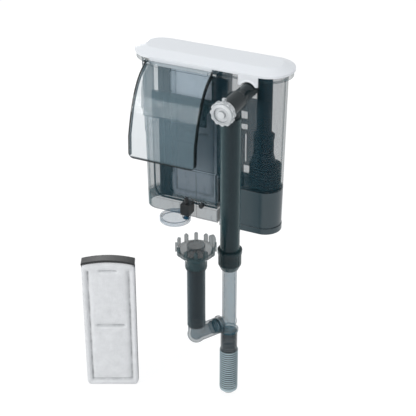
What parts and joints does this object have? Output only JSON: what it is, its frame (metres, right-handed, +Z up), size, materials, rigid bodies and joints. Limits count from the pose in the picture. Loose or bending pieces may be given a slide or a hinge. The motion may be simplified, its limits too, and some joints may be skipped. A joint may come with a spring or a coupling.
{
  "type": "hang-on-back aquarium filter",
  "caption": "Slim hang-on-back aquarium filter: smoky body, white lid, curved flow guide, siphon intake with strainer, surface skimmer, levelling cam and a spare cartridge.",
  "frame": {"origin": "middle of the flat face under the outlet bridge, where the filter hangs on the rim of the tank", "axes": "+Z up; +X along the body towards the motor side; -Y out from the tank side of the body, over the water"},
  "size_m": [0.2009, 0.1593, 0.3895],
  "materials": {
    "smoky_clear": "clear smoky styrene",
    "dark_smoke": "dark smoky styrene",
    "dark_plastic": "moulded dark plastic",
    "crystal": "nearly clear styrene",
    "white_plastic": "white moulded plastic",
    "rubber_black": "black rubber",
    "steel": "stainless steel",
    "magnet": "plastic-bonded ferrite",
    "potting": "wound coil and laminated core in potting",
    "fleece": "polyester fleece",
    "black_plastic": "black moulded plastic"
  },
  "bodies": {
    "tank_body": {"housing": "smoky_clear", "hanger_bridge": "smoky_clear", "motor_base": "dark_plastic", "base_cap": "dark_plastic", "base_screws": "steel", "stator": "potting", "cord_gland": "rubber_black", "pump_casing": "dark_smoke", "pump_cover": "dark_smoke", "pump_seal": "rubber_black", "impeller_shaft": "steel", "shaft_bushes": "rubber_black", "flow_baffle": "dark_smoke", "cartridge_rails": "black_plastic", "guide_hinge_pins": "steel", "siphon_elbow": "dark_smoke", "siphon_leg": "dark_smoke", "elbow_seal": "rubber_black", "upper_intake_tube": "dark_smoke", "nut_seal": "rubber_black", "level_pin": "black_plastic", "level_bracket": "black_plastic", "level_stop_peg": "black_plastic"},
    "lid": {"lid": "white_plastic"},
    "rotor": {"impeller": "white_plastic", "rotor_magnet": "magnet"},
    "guide": {"flow_guide": "crystal"},
    "knob": {"valve_knob": "crystal", "valve_spool": "dark_smoke", "valve_seal": "rubber_black"},
    "nut": {"coupling_nut": "dark_smoke"},
    "lower_tube": {"lower_intake_tube": "smoky_clear"},
    "strainer_cage": {"strainer": "dark_smoke"},
    "skimmer": {"skimmer_elbow": "smoky_clear", "branch_seal": "rubber_black", "skimmer_riser": "dark_smoke"},
    "crown": {"skimmer_crown": "smoky_clear"},
    "cam": {"level_cam": "crystal"},
    "cartridge": {"cartridge_frame": "black_plastic", "cartridge_floss": "fleece"},
    "spare_cartridge": {"spare_cartridge_frame": "black_plastic", "spare_cartridge_floss": "fleece"}
  },
  "joints": [
    {"name": "lid_lift", "type": "slide", "parent": "tank_body", "child": "lid", "axis": [0, 0, 1], "range_m": [0, 0.2]},
    {"name": "cartridge_lift", "type": "slide", "parent": "tank_body", "child": "cartridge", "axis": [0, 0, 1], "range_m": [0, 0.18]},
    {"name": "impeller_spin", "type": "hinge", "parent": "tank_body", "child": "rotor", "pos_m": [0.0861, 0.032, -0.0846], "axis": [0, 0, 1], "continuous": true},
    {"name": "guide_swing", "type": "hinge", "parent": "tank_body", "child": "guide", "pos_m": [0, -0.0003, 0.0412], "axis": [-1, 0, 0], "range_deg": [0, 60]},
    {"name": "knob_turn", "type": "hinge", "parent": "tank_body", "child": "knob", "pos_m": [0.0781, -0.0535, 0.0294], "axis": [0, -1, 0], "range_deg": [0, 90]},
    {"name": "nut_turn", "type": "hinge", "parent": "tank_body", "child": "nut", "pos_m": [0.0781, -0.0385, -0.1546], "axis": [0, 0, 1], "range_deg": [0, 180]},
    {"name": "tube_telescope", "type": "slide", "parent": "tank_body", "child": "lower_tube", "axis": [0, 0, 1], "range_m": [-0.02, 0.04]},
    {"name": "strainer_pull", "type": "slide", "parent": "lower_tube", "child": "strainer_cage", "axis": [0, 0, -1], "range_m": [0, 0.03]},
    {"name": "skimmer_swivel", "type": "hinge", "parent": "lower_tube", "child": "skimmer", "pos_m": [0.0557, -0.0765, -0.2346], "axis": [-0.5078, -0.8615, 0], "range_deg": [-60, 30]},
    {"name": "crown_float", "type": "slide", "parent": "skimmer", "child": "crown", "axis": [0, 0, 1], "range_m": [0, 0.012]},
    {"name": "cam_turn", "type": "hinge", "parent": "tank_body", "child": "cam", "pos_m": [0.0051, 0.0041, -0.1386], "axis": [0, 0, 1], "range_deg": [0, 96]},
    {"name": "spare_lift", "type": "slide", "parent": "tank_body", "child": "spare_cartridge", "axis": [0, 0, 1], "range_m": [0, 0.05]}
  ],
  "couplings": [
    {"joint": "cartridge_lift", "follows": "lid_lift", "ratio": 0.9}
  ]
}
